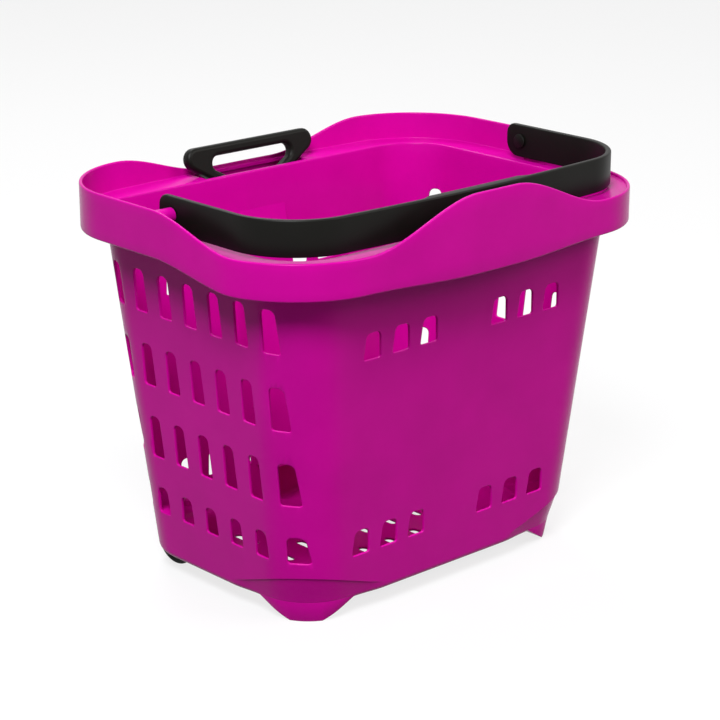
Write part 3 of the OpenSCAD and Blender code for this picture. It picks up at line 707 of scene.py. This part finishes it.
def housing_space(grow):
    """The pocket over one wheel, grown by a margin."""
    front, roof = HOUSE_FRONT_Y - grow, HOUSE_ROOF_Z + grow
    profile = np.vstack([
        [(TUB_BASE[1], -WALL), (TUB_BASE[1], roof)],
        arc((front + HOUSE_CORNER, roof - HOUSE_CORNER), HOUSE_CORNER, 90),
        [(front, -WALL)],
    ])
    return along_x(profile, (HOUSE_INNER_X - grow, TUB_BASE[0]))


def wheel_mouths():
    """The openings in the floor under the wheel pockets."""
    mouths = new_piece("mouths", mirrored(housing_space(0)))
    rim = wall_plan(FLOOR_LIFT, MOUTH_INSET)
    carve(mouths, loft([raised(rim, -WALL), raised(rim, FLOOR_Z + BASE_ROUND)]), "INTERSECT")
    return mouths


def tyre_slot():
    """The slot in the corner through which one tyre shows."""
    ring = circle(WHEEL_D / 2 + TYRE_GAP, (WHEEL_Y, WHEEL_D / 2))
    half = WHEEL_W / 2 + TYRE_GAP
    return along_x(ring, (WHEEL_X - half, WHEEL_X + half))


def channel_room():
    """Cutter for the opening in the back wall that the channel fills."""
    half = SEAT_HALF + WALL / 2
    low = (-half, -CHANNEL_DEPTH - WALL / 2, CHANNEL_LOW - WALL / 2)
    return rod_block(low, (half, CHANNEL_REACH, GUIDE_TOP - WALL / 2))


def grip_well():
    """Cutter for the opening in the ledge through which the grip drops into the back rim."""
    front = half_sizes(LEDGE_Z)[1] + PAST
    back = RIM_WIDTH / 2 - BAND_WALL - WELL_MARGIN
    return block((-WELL_HALF, front, LEDGE_UNDER - WALL), (WELL_HALF, back, LEDGE_Z + WALL))


def make_tub():
    """The moulding with its rim, its ledge and its slots."""
    tub = new_piece("tub", loft(outer_rings(0) + band_rings() + inner_rings()))
    carve(tub, all_slots())
    use_up(wheel_mouths(), tub)
    carve(tub, mirrored(tyre_slot()))
    carve(tub, channel_room())
    carve(tub, grip_well())
    return tub


def make_housings():
    """Shells over the wheels, trimmed by the wall of the tub."""
    housings = new_piece("wheel_housings", mirrored(housing_space(WALL)))
    carve(housings, loft(outer_rings(WALL / 2)), "INTERSECT")
    carve(housings, mirrored(housing_space(0)))
    return housings


def make_channel():
    """The leaning trench of the pull handle, which stands out of the wall at its top."""
    half = SEAT_HALF + WALL
    low = (-half, -CHANNEL_DEPTH - WALL, CHANNEL_LOW - WALL)
    channel = new_piece("channel", rod_block(low, (half, CHANNEL_REACH, GUIDE_TOP)))
    carve(channel, loft(outer_rings(WALL / 4)), "INTERSECT")
    carve(channel, rod_block(low, (half, CHANNEL_DEPTH + COVER_T, GUIDE_TOP)), "UNION")
    for side, floor in ((CHANNEL_HALF, -CHANNEL_DEPTH), (SEAT_HALF, CHANNEL_DEPTH)):
        carve(channel, rod_block((-side, floor, CHANNEL_LOW), (side, CHANNEL_REACH, WALL)))
    return channel


def make_feet():
    """The front corners of the tub carried down to the floor, with ramps at their inner sides."""
    hidden_top = FOOT_TOP + WALL
    rings = [wall_ring(FLOOR_LIFT, toe_inset + FOOT_TAPER, -FLOOR_LIFT),
             wall_ring(FOOT_TOP, toe_inset + FOOT_SINK),
             wall_ring(FOOT_TOP, toe_inset + FOOT_SINK + WALL / 4, WALL)]
    feet = new_piece("front_feet", loft(rings))
    x, y = TUB_BASE[0] / 2, -TUB_BASE[1] / 2
    levels = []
    for z in (0, hidden_top):
        reach = FOOT_REACH + FOOT_RAMP * z / FLOOR_LIFT
        corners = [(x - reach, 2 * y), (2 * x, 2 * y), (2 * x, y + reach), (x - reach, y + reach)]
        levels.append(raised(np.array(corners), z))
    carve(feet, mirrored(loft(levels)), "INTERSECT")
    soften(feet, FOOT_EDGE)
    carve(feet, loft(outer_rings(WALL / 2)))
    return feet


def peg(radius, low, high, edge):
    """An upright cylinder with a rounded upper edge."""
    rings = [raised(circle(radius), low)]
    for t in quarter(EDGE_STEPS):
        rings.append(raised(circle(radius - edge * (1 - math.cos(t))), high - edge * (1 - math.sin(t))))
    return loft(rings)


def make_bosses():
    """Bosses for the pins of the carry handle, on a web, and for the screws of the wheel brackets."""
    turned = Matrix.Translation((0, 0, PIVOT_Z)) @ Matrix.Rotation(math.radians(-90), 4, "Y")
    bosses = new_piece("bosses", mirrored(placed(peg(BOSS_D / 2, -BOSS_OUT, -BOSS_IN, BOSS_EDGE), turned)))
    hole = peg(PIVOT_D / 2 + BOSS_PLAY, BOSS_BLIND - BOSS_OUT, PAST - BOSS_IN, BOSS_PLAY)
    carve(bosses, mirrored(placed(hole, turned)))
    web_top = PIVOT_Z - BOSS_D / 2 + PAST
    web = block((BOSS_IN + WEB_SETBACK, -WALL / 2, LEDGE_Z - PAST), (BOSS_OUT, WALL / 2, web_top))
    studs = []
    for y in (WHEEL_Y - BRACKET_SCREW_Y, WHEEL_Y + BRACKET_SCREW_Y):
        stud = peg(SCREW_BOSS_D / 2, WALL / 2, SCREW_BOSS_H, BOSS_EDGE)
        studs.append(placed(stud, Matrix.Translation((WHEEL_X, y, HOUSE_ROOF_Z))))
    carve(bosses, mirrored(joined([web, *studs])), "UNION")
    return bosses


def make_gussets():
    """Thin plates between the wall and the skirt, under the ledge."""
    low, high = LEDGE_UNDER - GUSSET_DROP, LEDGE_UNDER + WALL / 2
    x_wall, y_wall = np.array(half_sizes(low)) - WALL / 4
    x_skirt = RIM_LENGTH / 2 - BAND_WALL / 2 - SHORT_BOW
    y_skirt = RIM_WIDTH / 2 - BAND_WALL / 2 - LONG_BOW
    t = GUSSET_T / 2
    plates = []
    for row in SIDE_GUSSETS:
        y = row * SIDE_PITCH
        plates.append(mirrored(block((x_wall, y - t, low), (x_skirt, y + t, high))))
    for column in LONG_GUSSETS:
        x = column * LONG_PITCH
        plates.append(block((x - t, -y_skirt, low), (x + t, -y_wall, high)))
        if column not in CHANNEL_COLUMNS:
            plates.append(block((x - t, y_wall, low), (x + t, y_skirt, high)))
    gussets = new_piece("gussets", joined(plates))
    soften(gussets, GUSSET_EDGE, GUSSET_EDGE_STEPS)
    return gussets


for part in (make_tub(), make_housings(), make_channel(), make_feet(), make_bosses(), make_gussets()):
    stand_for(part, "basket_body", MAGENTA)


# The carry handle


def band_path(inset):
    """The band in plan, from one heel round the front to the other."""
    a = RIM_LENGTH / 2 - BAND_INSET - inset
    b = RIM_WIDTH / 2 - LONG_BOW - BAND_INSET - inset
    r = RIM_CORNER - BAND_INSET - inset
    heel = HEEL_LENGTH - HEEL_LOW_ROUND * (1 - np.sin(quarter(2 * EDGE_STEPS)[::-1]))
    left = np.column_stack((np.full(len(heel), -a), heel))
    arm = between((-a, heel[-1]), (-a, r - b), SHORT_STEPS)
    front = between((r - a, -b), (a - r, -b), 2 * LONG_STEPS)
    half = np.vstack([left, arm, arc((r - a, r - b), r, 180)])
    return bowed(np.vstack([half, front, half[::-1] * (-1, 1)]), a, b, 0, LONG_BOW)


def make_carry_handle():
    """A flat band with rounded edges, thicker at the hand hold, with a round heel behind each pivot."""
    outer, inner = band_path(0), band_path(BAND_THICK)
    across = (inner - outer) / np.linalg.norm(inner - outer, axis=1)[:, None]
    hold = ease((HOLD_LENGTH / 2 - abs(outer[:, 0])) / HOLD_EASE + 0.5)
    thick = BAND_THICK + HOLD_EXTRA * hold
    half = BAND_HEIGHT / 2
    behind = outer[:, 1] - HEEL_LENGTH
    rise = np.maximum(behind + HEEL_TOP_ROUND, 0)
    fall = np.maximum(behind + HEEL_LOW_ROUND, 0)
    top = PIVOT_Z + half - HEEL_TOP_ROUND + np.sqrt(HEEL_TOP_ROUND**2 - rise**2)
    low = PIVOT_Z - half + HEEL_LOW_ROUND - np.sqrt(HEEL_LOW_ROUND**2 - fall**2)
    rings = []
    for i in range(len(outer)):
        near, far = BAND_EDGE, thick[i] - BAND_EDGE
        over, under = top[i] - BAND_EDGE, low[i] + BAND_EDGE
        centres = ((far, over), (near, over), (near, under), (far, under))
        section = np.vstack([arc(c, BAND_EDGE, 90 * k, EDGE_STEPS) for k, c in enumerate(centres)])
        rings.append(raised(outer[i] + np.outer(section[:, 0], across[i]), section[:, 1]))
    band = new_piece("carry_band", loft(rings))
    hole = circle(PIVOT_D / 2 + PIVOT_PLAY, (0, PIVOT_Z))
    carve(band, along_x(hole, (-RIM_LENGTH / 2, RIM_LENGTH / 2)))
    return band


stand_for(make_carry_handle(), "carry_handle", BLACK)


# The pull grip


def half_loop(low, high, r):
    """The right half of a loop that widens from one circle to another, from the bottom to the top."""
    slope = math.degrees(math.atan2(high[1] - low[1], high[0] - low[0])) - 90
    return np.vstack([arc(low, r, -90, LOOP_LOW_STEPS, slope + 90),
                      arc(high, r, slope, LOOP_HIGH_STEPS, 90 - slope)])


def grip_curve():
    """The loop and its hand hole as a flat curve with rounded edges."""
    neck = [(NECK_HALF, NECK_LOW), (NECK_HALF, NECK_LOW + NECK_H)]
    loop = np.vstack([neck, half_loop(LOOP_LOW, LOOP_HIGH, LOOP_R)])
    hole = half_loop(HAND_LOW, HAND_HIGH, HAND_R)
    curve = bpy.data.curves.new("pull_loop", "CURVE")
    curve.dimensions = "2D"
    curve.fill_mode = "BOTH"
    curve.extrude = (GRIP_T / 2 - GRIP_EDGE) * MM
    curve.bevel_depth = GRIP_EDGE * MM
    curve.bevel_resolution = GRIP_EDGE_STEPS
    curve.offset = -GRIP_EDGE * MM
    for points in (loop, hole):
        whole = np.vstack([points, points[::-1] * (-1, 1)]) * MM
        spline = curve.splines.new("POLY")
        spline.points.add(len(whole) - 1)
        for point, (x, y) in zip(spline.points, whole):
            point.co = (x, y, 0, 1)
        spline.use_cyclic_u = True
    return curve


def make_pull_grip():
    """A rounded loop that narrows to the neck on the upper rod."""
    drawn = new_object("pull_loop_curve", grip_curve())
    mesh = current_mesh(drawn)
    bpy.data.objects.remove(drawn)
    stand = ON_RODS.copy()
    stand.translation *= MM
    mesh.transform(stand @ Matrix.Rotation(math.radians(90), 4, "X"))
    return new_object("pull_loop", mesh)


stand_for(make_pull_grip(), "pull_grip", BLACK)


# The other pieces keep their CAD shape, with rounded edges


def cross(stand):
    """Cutter for the recess of a screw whose head faces up in its own frame."""
    a, b = CROSS_L / 2, CROSS_W / 2
    arm = np.array([(a, -b), (a, b), (b, b)])
    turns = [np.array([(c, s), (-s, c)]) for c, s in ((1, 0), (0, 1), (-1, 0), (0, -1))]
    ring = np.vstack([arm @ turn for turn in turns])
    return placed(loft([raised(ring, -CROSS_DEEP), raised(ring, CROSS_DEEP)]), stand)


def cover_crosses():
    """Recesses of the screws of the channel cover and, in the topmost row, of the guide."""
    rows = np.linspace(COVER_LOW + COVER_SCREW_END, GUIDE_LOW - COVER_SCREW_END, COVER_SCREW_ROWS)
    rows = [*rows, (GUIDE_LOW + GUIDE_TOP) / 2]
    face = CHANNEL_DEPTH + COVER_T + COVER_HEAD_T
    outward = Matrix.Rotation(math.radians(-90), 4, "X")
    return joined([cross(ON_RODS @ Matrix.Translation((x, face, w)) @ outward)
                   for w in rows for x in (-COVER_SCREW_X, COVER_SCREW_X)])


RECESSES = {"cover_screws": cover_crosses()}
# Points of the CAD mesh that are nearer than this are one, and faces that turn by less are one
WELD = 0.001
FLAT_TURN = 1


def dress(node, width):
    """A CAD node with its flat faces whole, its edges rounded and its recesses cut."""
    mesh = NODES[node].data.copy()
    shell = bmesh.new()
    shell.from_mesh(mesh)
    bmesh.ops.remove_doubles(shell, verts=shell.verts, dist=WELD * MM)
    flat = math.radians(FLAT_TURN)
    bmesh.ops.dissolve_limit(shell, angle_limit=flat, verts=shell.verts, edges=shell.edges)
    shell.to_mesh(mesh)
    shell.free()
    piece = new_object(node + ".dressed", mesh)
    soften(piece, width)
    if node in RECESSES:
        carve(piece, RECESSES[node])
    stand_for(piece, node, LOOKS[SLOTS[node]])


EDGE_WIDTHS = {
    "pivot_pin_left": 0.8, "pivot_pin_right": 0.8, "channel_cover": 0.5, "top_guide": 0.8,
    "cover_screws": 0.5, "lower_rod": 0.2, "lower_rod_foot": 0.3, "rod_collar": 0.2, "upper_rod": 0.2,
    "upper_rod_foot": 0.2, "grip_pins": 0.3, "wheel_hub_left": 0.4, "wheel_hub_right": 0.4,
    "tyre_left": 0.3, "tyre_right": 0.3, "axle_left": 0.4, "axle_right": 0.4, "axle_clip_left": 0.2,
    "axle_clip_right": 0.2, "wheel_bracket_left": 0.6, "wheel_bracket_right": 0.6, "bracket_screws": 0.4,
}
for name, edge_width in EDGE_WIDTHS.items():
    dress(name, edge_width)


# Stage: floor, light and camera

# In metres, degrees and watts, but sensor and lens in millimetres.
# Glow and sky are strengths at which 1 is white.
FLOOR_SIZE = 30
FLOOR_GREY = 0.14
FLOOR_ROUGHNESS = 0.9
FLOOR_GLOW = 0.78
SKY_LIGHT = 0.2
SKY_SEEN = 0.9
LAMP_TARGET = (0, 0, 0.2)
WHITE = (1, 1, 1)
COOL_WHITE = (0.95, 0.96, 1)
WARM_WHITE = (1, 0.97, 0.93)
CAMERA_AZIMUTH, CAMERA_ELEVATION = -42.65, 18
CAMERA_DISTANCE = 2.3
CAMERA_TARGET = (0, 0, 0.205)
CAMERA_SENSOR, CAMERA_LENS = 36, 112


def glow_strength(tree, seen, other):
    """A strength for camera, glossy and transmission rays and another for the rest."""
    path = tree.nodes.new("ShaderNodeLightPath")
    ray = path.outputs["Is Camera Ray"]
    for name in ("Is Glossy Ray", "Is Transmission Ray"):
        either = tree.nodes.new("ShaderNodeMath")
        either.operation = "MAXIMUM"
        tree.links.new(ray, either.inputs[0])
        tree.links.new(path.outputs[name], either.inputs[1])
        ray = either.outputs[0]
    strength = tree.nodes.new("ShaderNodeMapRange")
    strength.inputs["To Min"].default_value = other
    strength.inputs["To Max"].default_value = seen
    tree.links.new(ray, strength.inputs["Value"])
    return strength.outputs["Result"]


def make_floor():
    """A pale floor that glows white to the eye but keeps the shadow."""
    look = bpy.data.materials.new("floor")
    look.use_nodes = True
    shader = look.node_tree.nodes["Principled BSDF"]
    shader.inputs["Base Color"].default_value = (FLOOR_GREY, FLOOR_GREY, FLOOR_GREY, 1)
    shader.inputs["Roughness"].default_value = FLOOR_ROUGHNESS
    shader.inputs["Emission Color"].default_value = (*WHITE, 1)
    glow = glow_strength(look.node_tree, FLOOR_GLOW, 0)
    look.node_tree.links.new(glow, shader.inputs["Emission Strength"])
    mesh = bpy.data.meshes.new("floor")
    h = FLOOR_SIZE / 2
    mesh.from_pydata([(-h, -h, 0), (h, -h, 0), (h, h, 0), (-h, h, 0)], [], [(0, 1, 2, 3)])
    mesh.materials.append(look)
    floor = new_object("floor", mesh)


def make_sky():
    """A dim sky that looks as pale as the far floor."""
    world = bpy.data.worlds.new("studio")
    bpy.context.scene.world = world
    world.use_nodes = True
    sky = world.node_tree.nodes["Background"]
    sky.inputs["Color"].default_value = (*WHITE, 1)
    glow = glow_strength(world.node_tree, SKY_SEEN, SKY_LIGHT)
    world.node_tree.links.new(glow, sky.inputs["Strength"])


def aim(obj, target):
    """Turns a lamp or a camera to a point."""
    obj.rotation_euler = (Vector(target) - obj.location).to_track_quat("-Z", "Y").to_euler()


def add_lamp(name, place, size, power, colour):
    """A round soft lamp over the basket."""
    lamp = bpy.data.lights.new(name, "AREA")
    lamp.color = colour
    lamp.shape = "DISK"
    lamp.size = size
    lamp.energy = power
    obj = new_object(name, lamp)
    obj.location = place
    aim(obj, LAMP_TARGET)


def make_camera():
    """The camera, on the near left of the front as in the photo."""
    azimuth, elevation = math.radians(CAMERA_AZIMUTH), math.radians(CAMERA_ELEVATION)
    level = math.cos(elevation)
    away = Vector((math.sin(azimuth) * level, -math.cos(azimuth) * level, math.sin(elevation)))
    camera = bpy.data.cameras.new("camera")
    camera.sensor_width = CAMERA_SENSOR
    camera.lens = CAMERA_LENS
    obj = new_object("camera", camera)
    obj.location = Vector(CAMERA_TARGET) + away * CAMERA_DISTANCE
    aim(obj, CAMERA_TARGET)
    bpy.context.scene.camera = obj


make_floor()
add_lamp("key", place=(-1.7, -1.2, 2.7), size=1.3, power=136, colour=COOL_WHITE)
add_lamp("fill", place=(1.2, -2.0, 1.9), size=1.5, power=32, colour=WARM_WHITE)
add_lamp("back", place=(0.8, 1.8, 2.8), size=1.5, power=50, colour=WHITE)
make_sky()
make_camera()
bpy.context.scene.view_settings.view_transform = "Standard"
